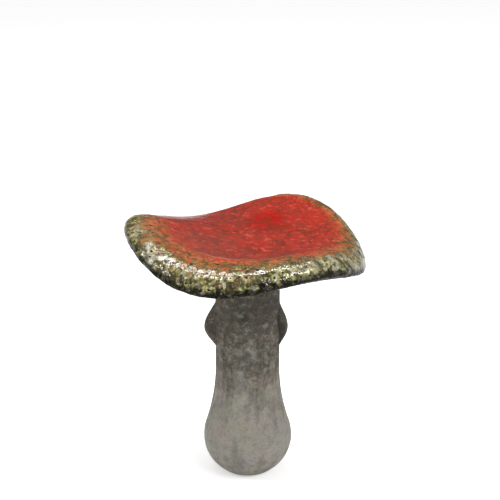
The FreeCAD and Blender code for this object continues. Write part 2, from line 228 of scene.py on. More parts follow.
def cells(tree, place, size, feature="F1"):
    return addNode(tree, "TexVoronoi", {"Vector": place, "Scale": 1 / size}, feature=feature)


def spot(tree, under, ragged, middle, reach, spread, amount, tone):
    # A single stain with a ragged edge, full up to the first share of its reach and gone at the second
    away = addNode(tree, "VectorMath", {0: ragged, 1: middle}, operation="DISTANCE").outputs["Value"]
    return mixColor(tree, between(tree, away, reach * spread[0], reach * spread[1], amount, 0.0), under, tone)


def finishMaterial(tree, color, rough, height, depth, specular):
    bump = addNode(tree, "Bump", {"Height": height, "Distance": depth * mm, "Strength": 1.0})
    shader = addNode(tree, "BsdfPrincipled", {"Base Color": color, "Roughness": rough,
                                              "Specular IOR Level": specular, "Normal": bump.outputs[0]})
    out = addNode(tree, "OutputMaterial")
    tree.links.new(shader.outputs[0], out.inputs["Surface"])


# The cap's waved form, as it is thrown and pressed: millimetres, degrees from +X towards +Y

capForm = {
    "boss": 166.0, "rise": 24.8, "radius": 89.0, "shift": 0.6,
    "swell": 3.9, "swellAngle": 241.0, "oval": 1.2, "ovalAngle": 35.0,
    "dish": 3.9, "tilt": 4.5, "tiltAngle": 202.7,
    "saddle": 5.3, "saddleAngle": 36.0, "lobe": 10.2, "lobeAngle": 62.8,
    "rollReach": 18.3, "rollDrop": 14.3, "lipReach": 5.0, "lipDrop": 4.1,
    "wall": 5.0, "rimWall": 6.5, "ledge": 2.5, "ledgeDrop": 12.6,
}


def wave(name, lobes, angle):
    return capForm[name] * math.cos(lobes * (angle - math.radians(capForm[name + "Angle"])))


def capOutline(angle):
    return capForm["radius"] + wave("swell", 1, angle) + wave("oval", 2, angle)


def capHeight(share, angle):
    height = capForm["boss"] + capForm["rise"] + capForm["dish"] * share ** 2
    height += share * wave("tilt", 1, angle)
    height += share ** 2 * wave("saddle", 2, angle)
    return height + share ** 3 * wave("lobe", 3, angle)


def onCap(out, up, angle):
    # A point of the round profile moved onto the waved sheet; up is minus the drop below it
    reach = capForm["radius"] - capForm["rollReach"]
    outline = capOutline(angle)
    if out <= reach:
        radius = out / reach * (outline - capForm["rollReach"])
    else:
        radius = outline - (capForm["radius"] - out)
    height = capHeight(radius / outline, angle) + up
    return Vector((capForm["shift"] + radius * math.cos(angle), radius * math.sin(angle), height)) * mm


# The glazed cap: a run is the distance along the profile from the middle of the dish

capLook = {
    "steps": 600, "dishRings": 52, "ringSpread": 0.85, "rollRings": 36, "lipRings": 11,
    "innerRollRings": 5, "innerRings": 4,
    "lump": 0.75, "lumpSize": 10.0, "leastLump": 0.25, "thick": (-0.1, 1.1), "middleSink": 0.12,
    "bubble": 0.20, "bubbleSize": 3.8, "bubbleEdge": (0.05, 0.75), "stir": 1.6, "stirSize": 4.0,
    "pit": 0.5, "pitSize": 6.2, "pitEdge": (0.06, 0.17), "noPit": 0.35, "pitSeed": 7.3,
    "redEnd": 65.5, "redLean": 10.0, "greenStart": 79.5, "greenLean": 3.0, "leanAngle": 262.0,
    "leftAngle": 196.0, "leftWidth": 34.0, "leftRed": 6.0, "leftGreen": -2.5,
    "bareEdge": 98.5, "fullEdge": 112.0, "bareAngle": 314.0, "bareWidth": 30.0,
    "darkEdge": 93.0, "darkStrip": 3.0, "streakAngle": 335.0, "streakWidth": 34.0,
    "creaseAngle": 228.3, "creaseTurn": 0.69, "creaseStart": 73.0, "creaseEnd": 91.0,
    "creaseDepth": 1.0, "creaseWidth": 0.8, "creaseFade": 3.0,
    "hollow": 2.2, "hollowMiddle": (12.0, 40.0),
    "crestRun": 60.0, "crestWidth": 9.0, "crestAngle": 296.0, "crestSpread": 60.0,
    "dent": 1.3, "dentAngle": 215.0, "dentRun": 34.0, "dentReach": 26.0,
}


def capProfile():
    form = capForm
    reach = form["radius"] - form["rollReach"]
    points = [(0, 0)]
    for step in range(1, capLook["dishRings"] + 1):
        points.append((reach * (step / capLook["dishRings"]) ** capLook["ringSpread"], 0))
    for turn in quarter(capLook["rollRings"]):
        points.append((reach + form["rollReach"] * math.sin(turn), -form["rollDrop"] * (1 - math.cos(turn))))
    for turn in quarter(capLook["lipRings"]):
        points.append((form["radius"] - form["lipReach"] * (1 - math.cos(turn)),
                       -form["rollDrop"] - form["lipDrop"] * math.sin(turn)))
    outside = len(points)
    inner = form["radius"] - form["rimWall"]
    lip = form["rollDrop"] + form["lipDrop"]
    points.append((inner, -lip))
    points.append((inner, -(lip + form["ledgeDrop"]) / 2))
    points.append((inner, -form["ledgeDrop"]))
    points.append((inner - form["ledge"], -form["ledgeDrop"]))
    roll = inner - form["ledge"] - reach
    for turn in reversed(quarter(capLook["innerRollRings"])[:-1]):
        points.append((reach + roll * math.sin(turn),
                       -form["wall"] - (form["ledgeDrop"] - form["wall"]) * (1 - math.cos(turn))))
    for step in range(capLook["innerRings"], -1, -1):
        points.append((reach * step / capLook["innerRings"], -form["wall"]))
    return points, outside


def glazeRelief(point, share, run, angle):
    # How far the glaze sinks below its highest level, in millimetres
    look = capLook
    thick = smoothStep(*look["thick"], share)
    swim = 0.5 + 0.5 * noise.fractal(point / look["lumpSize"], 1.0, 2.0, 3)
    sink = look["lump"] * (look["leastLump"] + (1 - look["leastLump"]) * thick) * min(max(swim, 0), 1)
    loose = point / look["stirSize"]
    push = Vector((noise.noise(loose), noise.noise(loose + Vector((9, 2, 5))),
                   noise.noise(loose + Vector((3, 7, 1)))))
    near = noise.voronoi((point + look["stir"] * push) / look["bubbleSize"])[0]
    sink += look["bubble"] * thick * smoothStep(*look["bubbleEdge"], near[0])
    far, middles = noise.voronoi(point / look["pitSize"])
    if noise.cell(middles[0] * look["pitSeed"]) > look["noPit"]:
        sink += look["pit"] * thick * (1 - smoothStep(*look["pitEdge"], far[0]))

    # One crease runs down the roll at the left front
    across = math.degrees(angle) % 360 - look["creaseAngle"] + look["creaseTurn"] * (run - look["creaseStart"])
    along = smoothStep(0, look["creaseFade"], run - look["creaseStart"])
    along *= smoothStep(0, look["creaseFade"], look["creaseEnd"] - run)
    sink += look["creaseDepth"] * along * bell(across, look["creaseWidth"])

    # The dish lies a little lower behind a soft crest along its front, and hollows at the left
    front = bell(turnFrom(look["crestAngle"], angle), look["crestSpread"])
    inside = 1 - smoothStep(look["crestRun"] - look["crestWidth"], look["crestRun"], run)
    sink += look["hollow"] * front * inside * smoothStep(*look["hollowMiddle"], run)
    turn = angle - math.radians(look["dentAngle"])
    away = math.hypot(run * math.sin(turn), run * math.cos(turn) - look["dentRun"])
    return sink + look["dent"] * bell(away, look["dentReach"])


def runPoint(angle, run):
    # The point of the cap's face at this run, in millimetres
    profile = capProfile()[0]
    for before, after in zip(profile, profile[1:]):
        span = math.dist(before, after)
        if run <= span:
            break
        run -= span
    out, up = (start + run / span * (end - start) for start, end in zip(before, after))
    return onCap(out, up, math.radians(angle)) / mm


def makeCap():
    look = capLook
    profile, outside = capProfile()
    cap = turnPiece("capGlazedShell", profile, look["steps"])
    runs = [0.0]
    for before, after in zip(profile, profile[1:]):
        runs.append(runs[-1] + math.dist(before, after))
    stations = readStations(cap, profile)
    for vertex, (station, angle) in zip(cap.data.vertices, stations):
        vertex.co = onCap(*profile[station], angle)
    cap.data.update()

    # Where each glaze lies, kept with the mesh for the material
    values = {"glazeShare": [], "edgeRun": [], "darkRun": [], "streakShare": [], "glazeRun": []}
    sinks = []
    for vertex, (station, angle) in zip(cap.data.vertices, stations):
        run = runs[station]
        lean = math.cos(angle - math.radians(look["leanAngle"]))
        left = bell(turnFrom(look["leftAngle"], angle), look["leftWidth"])
        redEnd = look["redEnd"] - look["redLean"] * lean - look["leftRed"] * left
        greenStart = look["greenStart"] - look["greenLean"] * lean + look["leftGreen"] * left
        share = (run - redEnd) / (greenStart - redEnd)
        bare = bell(turnFrom(look["bareAngle"], angle), look["bareWidth"])
        edge = look["fullEdge"] + bare * (look["bareEdge"] - look["fullEdge"])
        values["glazeShare"].append(share)
        values["edgeRun"].append(run - edge)
        values["darkRun"].append(run - min(edge - look["darkStrip"], look["darkEdge"]))
        values["streakShare"].append(bell(turnFrom(look["streakAngle"], angle), look["streakWidth"]))
        values["glazeRun"].append(run)
        if station == 0:
            sinks.append(look["middleSink"])
        elif station < outside:
            sinks.append(glazeRelief(vertex.co / mm, share, run, angle))
        else:
            sinks.append(0)
    sinkFace(cap, sinks)
    for name in values:
        storeValues(cap, name, values[name])
    return cap


glazeLook = {
    # The colours from the middle of the dish out to the rim
    "flow": [
        (0.0, (0.37, 0.025, 0.015)), (0.28, (0.395, 0.033, 0.017)), (0.35, (0.45, 0.062, 0.024)),
        (0.44, (0.46, 0.13, 0.045)), (0.52, (0.38, 0.16, 0.058)), (0.61, (0.22, 0.135, 0.045)),
        (0.74, (0.17, 0.15, 0.055)), (1.0, (0.11, 0.11, 0.065)),
    ],
    "flowSpan": (-1.0, 2.0), "broadSwing": 1.1, "patchSwing": 2.2, "fineSwing": 0.9,
    "rimZone": (0.8, 1.4), "rimCover": 0.9,

    # Noises by size, detail and roughness, stirs by size and how far, and the sizes of cells
    "broadGrain": (17.0, 2.0), "patchGrain": (5.5, 3.0, 0.6), "fineGrain": (1.5, 3.0, 0.65),
    "mottleGrain": (5.6, 4.0, 0.7), "tintGrain": (10.0, 2.0), "cloudGrain": (9.0, 3.0, 0.6),
    "streakGrain": (1.5, 2.0, 0.6), "turnsGrain": (6.0, 2.0),
    "loose": (6.0, 6.0), "swirl": (13.0, 16.0), "cloudStir": (12.0, 10.0), "streakStir": (4.0, 1.5),
    "veinSize": 8.0, "largeStir": (5.0, 8.0), "largeSize": 5.2, "littleStir": (3.5, 4.0), "littleSize": 2.6,
    "frothStir": (3.0, 3.5), "frothSize": 1.7, "turns": (0.44, 0.54),
    "streaksRound": 60.0, "streakStretch": 0.14, "streaksAll": 0.25,

    # Coats: a noise's levels where they start and are full, how much, colour
    "ember": (0.46, 0.34, 0.55, (0.50, 0.135, 0.095)),
    "murk": (0.50, 0.62, 0.70, (0.125, 0.04, 0.023)),
    "fleck": (0.56, 0.68, 0.50, (0.50, 0.10, 0.05)),
    "amber": (0.50, 0.60, 0.65, (0.09, 0.06, 0.015)),
    "flame": (0.46, 0.38, 0.50, (0.48, 0.06, 0.014)),
    "froth": (0.35, 0.65, 0.35, (0.05, 0.048, 0.025)),
    "cream": (0.52, 0.64, 0.50, (0.55, 0.54, 0.43)),
    "moss": (0.49, 0.38, 0.70, (0.045, 0.042, 0.02)),
    "spark": (0.56, 0.68, 0.40, (0.64, 0.62, 0.46)),
    "paleStreak": (0.50, 0.64, 0.60, (0.36, 0.36, 0.28)),
    "darkStreak": (0.45, 0.30, 0.70, (0.04, 0.036, 0.024)),

    "amberZone": (-0.1, 0.4), "flameZone": (-0.3, 0.2, 0.35, 0.75),
    "vein": (0.13, 0.022, 0.012), "veinCover": 0.7, "veinEdge": (0.2, 0.02),
    "veinPlaces": (0.38, 0.6, 0.15, 1.0),
    "pinhole": (0.006, 0.006, 0.005), "pinholeSize": 5.2, "pinholeEdge": (0.23, 0.15),
    "pinholeZone": (0.4, 0.9), "noPinhole": 0.4,

    # The lower edge: how ragged it is in millimetres, the dark glass and the bare clay
    "ragged": 14.0, "bareRagged": 0.5, "darkGlass": (0.005, 0.005, 0.003),
    "darkSpan": (-2.0, 2.5, 0.0, 0.95), "darkBreaks": (0.56, 0.68, 1.0, 0.7),
    "bareSpan": (-0.3, 0.5), "edgeSpan": (-1.0, 4.0),
    "bareClay": [(0.3, (0.05, 0.048, 0.055)), (0.7, (0.13, 0.125, 0.13))],

    # The painted highlight along the soft crest and the painted shade in the hollow inside it: their stretch
    # along X and Y, then lines by where they rise, are full, fade and end
    "crestAcross": (-42.0, -18.0, 22.0, 58.0), "crestFront": (-22.0, -34.0), "crestWander": 8.0,
    "crestHighlightAndShade": [
        # First the painted highlight along the crest, then the painted shade in the hollow inside it
        ((53.0, 56.0, 56.0, 58.5), 0.75, (0.54, 0.17, 0.13)),
        ((40.0, 51.0, 51.0, 54.5), 0.6, (0.22, 0.04, 0.03)),
    ],

    # A bubble from its middle out to the dark glass between bubbles, and the tints over them
    "bubble": [
        (0.0, (0.64, 0.62, 0.38)), (0.22, (0.52, 0.50, 0.23)), (0.42, (0.30, 0.285, 0.10)),
        (0.58, (0.09, 0.08, 0.028)), (0.78, (0.02, 0.016, 0.006)),
    ],
    "tint": [(0.38, (1.14, 1.0, 1.05)), (0.50, (1.04, 1.03, 1.1)), (0.62, (1.06, 1.14, 0.62))],

    # Gloss, and how much each mark stands up or is cut in
    "rough": (0.3, 0.8, 0.03, 0.08), "bareRough": 0.75, "shine": 0.3, "rimShine": 0.6, "edgeDull": 0.97,
    "bumpDepth": 0.25, "fineBump": 0.25, "frothCut": 0.4, "pinholeCut": 1.2, "veinCut": 0.08,

    # Single spots: angle, run, reach, how much, colour
    "spotSpread": (0.4, 1.1), "spotStir": (0.5, 0.7), "spotFineStir": (0.2, 0.6),
    "spotsAndShade": [
        # The first spot is painted shade over the dent at the left of the dish
        (222.0, 40.0, 36.0, 0.34, (0.20, 0.06, 0.045)),
        (56.0, 28.0, 21.0, 0.55, (0.34, 0.001, 0.0)),
        (70.0, 42.0, 14.0, 0.5, (0.38, 0.001, 0.0)),
        (40.0, 24.0, 9.0, 0.3, (0.11, 0.03, 0.006)),
        (66.0, 33.0, 6.5, 0.45, (0.10, 0.035, 0.008)),
        (88.0, 30.0, 6.0, 0.4, (0.13, 0.02, 0.006)),
        (30.0, 34.0, 7.0, 0.3, (0.11, 0.03, 0.006)),
        (276.3, 93.0, 3.6, 1.0, (0.003, 0.004, 0.003)),
        (257.0, 92.0, 2.6, 0.8, (0.035, 0.022, 0.026)),
        (256.0, 96.5, 3.0, 0.9, (0.025, 0.016, 0.019)),
        (217.0, 93.5, 5.5, 0.6, (0.045, 0.04, 0.03)),
        (222.0, 97.0, 5.0, 0.7, (0.03, 0.026, 0.02)),
    ],
}


def glazeNoise(tree, place):
    # The noises that all parts of the glaze share
    look = glazeLook
    loose = stirred(tree, place, *look["loose"])
    return {"broad": grain(tree, place, *look["broadGrain"]), "patch": grain(tree, loose, *look["patchGrain"]),
            "fine": grain(tree, loose, *look["fineGrain"])}


def glazeRed(tree, place, noises, zone, vein, run):
    look = glazeLook
    flow = colorRamp(tree, between(tree, zone, *look["flowSpan"], kind="LINEAR"), look["flow"])

    # Mottles swirl through the red, with darker crackle
    mottle = grain(tree, stirred(tree, place, *look["swirl"]), *look["mottleGrain"])
    red = lay(tree, flow, mottle, look["ember"])
    red = mixColor(tree, times(tree, vein, look["veinCover"]), red, look["vein"])
    red = lay(tree, red, mottle, look["murk"])
    red = lay(tree, red, noises["fine"], look["fleck"])

    # Amber patches and licks of red where it turns to green
    red = lay(tree, red, noises["patch"], look["amber"], between(tree, zone, *look["amberZone"]))
    red = lay(tree, red, noises["patch"], look["flame"], band(tree, zone, *look["flameZone"]))

    # A painted highlight line along the soft crest in front of the dish, and a line of painted shade in the
    # hollow inside it
    split = addNode(tree, "SeparateXYZ", {0: place})
    front = times(tree, band(tree, split.outputs[0], *look["crestAcross"]),
                  between(tree, split.outputs[1], *look["crestFront"]))
    bend = calc(tree, "ADD", run, swing(tree, noises["broad"], look["crestWander"]))
    for levels, amount, tone in look["crestHighlightAndShade"]:
        red = mixColor(tree, times(tree, band(tree, bend, *levels), front, amount), red, tone)
    return red


def glazeRim(tree, place, noises, bubble, froth, streakShare, run):
    look = glazeLook

    # Bubbled green and cream
    rim = lay(tree, colorRamp(tree, bubble, look["bubble"]), froth, look["froth"])
    tint = colorRamp(tree, grain(tree, place, *look["tintGrain"]), look["tint"])
    rim = mixColor(tree, 1.0, rim, tint, "MULTIPLY")
    cloud = grain(tree, stirred(tree, place, *look["cloudStir"]), *look["cloudGrain"])
    rim = lay(tree, rim, cloud, look["cream"])
    rim = lay(tree, rim, cloud, look["moss"])
    rim = lay(tree, rim, noises["fine"], look["spark"])

    # Streaks that run over the edge, from the glaze's flow in the kiln
    around = addNode(tree, "VectorMath", {0: vectorCalc(tree, "MULTIPLY", place, (1.0, 1.0, 0.0))},
                     operation="NORMALIZE").outputs[0]
    along = addNode(tree, "CombineXYZ", {2: times(tree, run, look["streakStretch"])}).outputs[0]
    flowing = vectorCalc(tree, "ADD", scaled(tree, around, look["streaksRound"]), along)
    streak = grain(tree, stirred(tree, flowing, *look["streakStir"]), *look["streakGrain"])
    rim = lay(tree, rim, streak, look["paleStreak"], streakShare)
    return lay(tree, rim, streak, look["darkStreak"], calc(tree, "ADD", streakShare, look["streaksAll"]))


def makeGlaze():
    look = glazeLook
    glaze, tree = newMaterial("reactiveGlaze")
    place = millimetres(tree)
    noises = glazeNoise(tree, place)
    fine = noises["fine"]
    run = surfaceValue(tree, "glazeRun")
    darkRun = surfaceValue(tree, "darkRun")
    zone = surfaceValue(tree, "glazeShare")
    for name in noises:
        zone = calc(tree, "ADD", zone, swing(tree, noises[name], look[name + "Swing"]))

    # The net of crackle, and large and little bubbles by turns
    veins = cells(tree, stirred(tree, place, *look["swirl"]), look["veinSize"], "DISTANCE_TO_EDGE")
    vein = times(tree, between(tree, veins.outputs["Distance"], *look["veinEdge"]),
                 between(tree, noises["broad"], *look["veinPlaces"]))
    large, little, froth = (
        cells(tree, stirred(tree, place, *look[name + "Stir"]), look[name + "Size"]).outputs["Distance"]
        for name in ("large", "little", "froth"))
    where = between(tree, grain(tree, place, *look["turnsGrain"]), *look["turns"])
    bubble = calc(tree, "ADD", times(tree, large, where),
                  times(tree, little, calc(tree, "SUBTRACT", 1.0, where)))

    red = glazeRed(tree, place, noises, zone, vein, run)
    rim = glazeRim(tree, place, noises, bubble, froth, surfaceValue(tree, "streakShare"), run)
    rimShare = between(tree, zone, *look["rimZone"])
    color = mixColor(tree, times(tree, rimShare, look["rimCover"]), red, rim)

    # Pinholes
    holes = cells(tree, place, look["pinholeSize"])
    chance = addNode(tree, "SeparateColor", {0: holes.outputs["Color"]}).outputs[0]
    hole = times(tree, between(tree, holes.outputs["Distance"], *look["pinholeEdge"]),
                 calc(tree, "GREATER_THAN", chance, look["noPinhole"]),
                 between(tree, zone, *look["pinholeZone"]))
    color = mixColor(tree, hole, color, look["pinhole"])

    # Single spots and runs that show in the glaze, and one spot of painted shade over the dent at the left of
    # the dish
    for angle, length, reach, amount, tone in look["spotsAndShade"]:
        ragged = place
        for size, far in (look["spotStir"], look["spotFineStir"]):
            ragged = stirred(tree, ragged, reach * size, reach * far)
        color = spot(tree, color, ragged, runPoint(angle, length), reach, look["spotSpread"], amount, tone)

    # The run of dark glass at the lower edge, and the bare clay under it
    ragged = swing(tree, noises["patch"], look["ragged"])
    lower = calc(tree, "ADD", darkRun, ragged)
    dark = times(tree, between(tree, lower, *look["darkSpan"]), between(tree, fine, *look["darkBreaks"]))
    color = mixColor(tree, dark, color, look["darkGlass"])
    bare = calc(tree, "ADD", surfaceValue(tree, "edgeRun"), times(tree, ragged, look["bareRagged"]))
    bare = between(tree, bare, *look["bareSpan"])
    color = mixColor(tree, bare, color, colorRamp(tree, fine, look["bareClay"]))

    # Glassy all over but on the bare clay, raised by bubbles and broken by froth, holes and crackle
    rough = between(tree, fine, *look["rough"])
    rough = calc(tree, "MAXIMUM", rough, times(tree, bare, look["bareRough"]))
    bumps = times(tree, calc(tree, "SUBTRACT", 1.0, bubble), rimShare)
    bumps = calc(tree, "ADD", bumps, times(tree, fine, look["fineBump"]))
    for cut, depth in ((times(tree, froth, rimShare), "frothCut"), (hole, "pinholeCut"), (vein, "veinCut")):
        bumps = calc(tree, "SUBTRACT", bumps, times(tree, cut, look[depth]))
    edge = calc(tree, "MAXIMUM", between(tree, lower, *look["edgeSpan"]), bare)
    shine = calc(tree, "ADD", look["shine"], times(tree, rimShare, look["rimShine"]))
    shine = times(tree, shine, calc(tree, "SUBTRACT", 1.0, times(tree, edge, look["edgeDull"])))
    finishMaterial(tree, color, rough, bumps, look["bumpDepth"], shine)
    return glaze


glaze = makeGlaze()
cap = makeCap()
cap.data.materials.append(glaze)
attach(cap, "root")
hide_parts("cap_top")
print("cap glazed:", len(cap.data.polygons), "faces")


# The hollow stem

stemForm = {
    "foot": 17.4, "footEdge": 1.2, "floor": 6.0, "wall": 5.0, "hollowNeck": 82.0,
    "bulb": 33.7, "bulbHeight": 27.5, "waist": 155.0, "neck": 24.3, "height": 165.0,
    "shoulder": 6.0, "spigot": 14.0, "spigotTop": 174.9, "pour": 8.5,
    "vent": 3.0, "ventOffset": 9.0, "ventSides": 48, "ventPast": 4.0,
    "steps": 300, "heelSteps": 25, "heelLift": 0.03, "bulbSteps": 8, "waistSteps": 36, "neckSteps": 60,
    "streak": 0.3, "streakTurns": 4.2, "streakLength": 52.0, "grit": 0.16, "gritSize": 2.6,
    "dent": 0.35, "dentSize": 11.0, "dentEdge": (0.03, 0.13), "noDent": 0.5, "dentSeed": 5.1, "fadeIn": 4,
    "sharpest": 40.0,
}


def stemProfile():
    form = stemForm
    points = [(0, 0), (form["foot"] / 2, 0), (form["foot"] - form["footEdge"], 0)]
    firstFace = len(points)

    # The bulb's lower arc up from the foot, then its round above, the waist and the straight neck
    span = form["bulb"] - form["foot"]
    heel = (span ** 2 + form["bulbHeight"] ** 2) / (2 * span)
    first = form["heelLift"] - math.asin(form["bulbHeight"] / heel)
    for step in range(form["heelSteps"] + 1):
        turn = first * (1 - step / form["heelSteps"])
        points.append((form["bulb"] - heel + heel * math.cos(turn), form["bulbHeight"] + heel * math.sin(turn)))
    out = form["neck"] + form["waist"]
    rise = math.sqrt((form["bulb"] + form["waist"]) ** 2 - out ** 2)
    lean = math.atan2(rise, out)
    for step in range(1, form["bulbSteps"] + 1):
        turn = lean * step / form["bulbSteps"]
        points.append((form["bulb"] * math.cos(turn), form["bulbHeight"] + form["bulb"] * math.sin(turn)))
    start = form["bulbHeight"] + rise
    for step in range(1, form["waistSteps"] + 1):
        turn = lean * (1 - step / form["waistSteps"])
        points.append((out - form["waist"] * math.cos(turn), start - form["waist"] * math.sin(turn)))
    for step in range(1, form["neckSteps"] + 1):
        points.append((form["neck"], start + (form["height"] - start) * step / form["neckSteps"]))
    outside = len(points)

    # The spigot, and the hollow down to the floor
    under = form["height"] - form["shoulder"]
    points += [(form["spigot"], form["height"]), (form["spigot"], form["spigotTop"]),
               (form["pour"], form["spigotTop"]), (form["pour"], under),
               (form["neck"] - form["wall"], under), (form["neck"] - form["wall"], form["hollowNeck"]),
               (form["bulb"] - form["wall"], form["bulbHeight"]),
               (form["foot"], form["floor"]), (0, form["floor"])]
    return points, firstFace, outside


def stemRelief(point, angle):
    # Soft drips down the wall and the grit of washed clay, in millimetres below the true face
    form = stemForm
    around = Vector((math.cos(angle), math.sin(angle), 0)) * form["streakTurns"]
    drip = noise.fractal(around + Vector((0, 0, point.z / form["streakLength"])), 0.9, 2.0, 4)
    sink = form["streak"] * min(max(0.5 + 0.7 * drip, 0), 1)
    grit = noise.fractal(point / form["gritSize"], 0.8, 2.0, 3)
    sink += form["grit"] * min(max(0.5 + 0.6 * grit, 0), 1)
    near, middles = noise.voronoi(point / form["dentSize"])
    if noise.cell(middles[0] * form["dentSeed"]) > form["noDent"]:
        sink += form["dent"] * (1 - smoothStep(*form["dentEdge"], near[0]))
    return sink


def makeStem():
    form = stemForm
    profile, firstFace, outside = stemProfile()
    stem = turnPiece("stemCasting", profile, form["steps"])
    sinks = []
    for vertex, (station, angle) in zip(stem.data.vertices, readStations(stem, profile)):
        if firstFace <= station < outside:
            fade = min(station - firstFace + 1, form["fadeIn"]) / form["fadeIn"]
            sinks.append(stemRelief(vertex.co / mm, angle) * fade)
        else:
            sinks.append(0)
    sinkFace(stem, sinks)

    # The vent hole beside the middle of the sole
    pickNothing()
    bpy.ops.mesh.primitive_cylinder_add(vertices=form["ventSides"], radius=form["vent"] * mm,
                                        depth=(form["floor"] + form["ventPast"]) * mm,
                                        location=(0, form["ventOffset"] * mm, form["floor"] / 2 * mm))
    punch = bpy.context.object
    pickNothing()
    stem.select_set(True)
    bpy.context.view_layer.objects.active = stem
    cut = stem.modifiers.new("vent", "BOOLEAN")
    cut.operation = "DIFFERENCE"
    cut.object = punch
    bpy.ops.object.modifier_apply(modifier=cut.name)
    bpy.data.objects.remove(punch)
    bpy.ops.object.shade_smooth_by_angle(angle=math.radians(form["sharpest"]))
    return stem


clayLook = {
    "dark": (0.087, 0.075, 0.057), "mid": (0.176, 0.161, 0.134), "pale": (0.282, 0.266, 0.231),
    "tints": [(0.188, 0.168, 0.158), (0.164, 0.176, 0.156), (0.168, 0.164, 0.178)],
    # The last entry is the colour of the painted shade in the skirt's folds
    "tintBase": 0.17, "tintLevels": (0.48, 0.68, 0.0, 0.55), "foldShade": (0.022, 0.019, 0.015),

    # Noises by size, detail and roughness, and stirs by size and how far
    "streakGrain": (4.2, 5.0, 0.62), "wideGrain": (14.0, 2.0, 0.5), "blotchGrain": (6.5, 5.0, 0.65),
    "crustGrain": (4.6, 5.0, 0.68), "fineGrain": (1.1, 3.0, 0.7), "tintGrain": (12.0, 2.0, 0.5),
    "streakStir": (5.0, 4.0), "blotchStir": (10.0, 8.0), "crustStir": (6.0, 7.0), "tintStir": (9.0, 8.0),
    "runDown": (1.0, 1.0, 0.13),

    # The wash from the foot up, darker at the foot as painted shade: share of the height, tone, how light
    "top": stemForm["height"], "streakSwing": 0.5, "wideSwing": 0.5, "blotchSwing": (45.0, 95.0, 0.35, 0.8),
    "washAndShade": [(0.0, "pale", 0.66), (0.17, "pale", 1.0), (0.32, "pale", 0.93),
             (0.46, "mid", 1.0), (0.66, "dark", 1.0), (1.0, "dark", 0.72)],

    # Coats: a noise's levels where they start and are full, how much, tone, how light
    "neckCoats": (55.0, 110.0, 0.35, 1.0),
    "crumb": (0.50, 0.60, 0.5, "dark", 0.5),
    "chalk": (0.45, 0.36, 0.42, "pale", 0.85),
    "shade": (0.55, 0.30, 0.3, "dark", 0.62),
    "bloom": (0.52, 0.75, 0.35, "pale", 1.15),

    # Stains on the front, the first of them painted shade in the hollow where the skirt's top meets the stem:
    # across, up, reach, how much, how light
    "stainOut": 30.0, "stainIn": 5.0, "stainSpread": (0.45, 1.05), "stainTone": (1.0, 0.95, 0.85),
    "stainStir": (7.0, 12.0), "stainFineStir": (2.5, 5.0),
    "stainsAndShade": [
        (-3.3, 133.0, 4.5, 0.85, 0.035), (-6.5, 142.0, 9.0, 0.5, 0.06), (2.0, 123.0, 7.5, 0.45, 0.06),
        (14.0, 125.0, 5.0, 0.45, 0.06), (2.5, 108.0, 6.5, 0.55, 0.25), (13.0, 107.0, 5.0, 0.35, 0.22),
        (-3.5, 96.0, 9.0, 0.55, 0.06), (-17.0, 91.0, 8.0, 0.5, 0.065), (-13.0, 106.0, 5.0, 0.4, 0.2),
        (10.0, 92.0, 6.0, 0.35, 0.07), (20.0, 70.0, 10.0, 0.4, 0.30), (-21.0, 66.0, 9.0, 0.35, 0.28),
        (-9.0, 78.0, 8.0, 0.35, 0.09),
    ],
    "speckSize": 2.3, "speckEdge": (0.24, 0.08), "speckPlaces": (0.5, 0.62, 0.0, 0.6),
    "rough": (0.3, 0.7, 0.72, 0.9), "shine": 0.3,
    "bumpDepth": 0.6, "fineBump": 0.5, "streakBump": 0.7, "crumbCut": 0.6,
}


def lighter(color, factor):
    return tuple(part * factor for part in color)


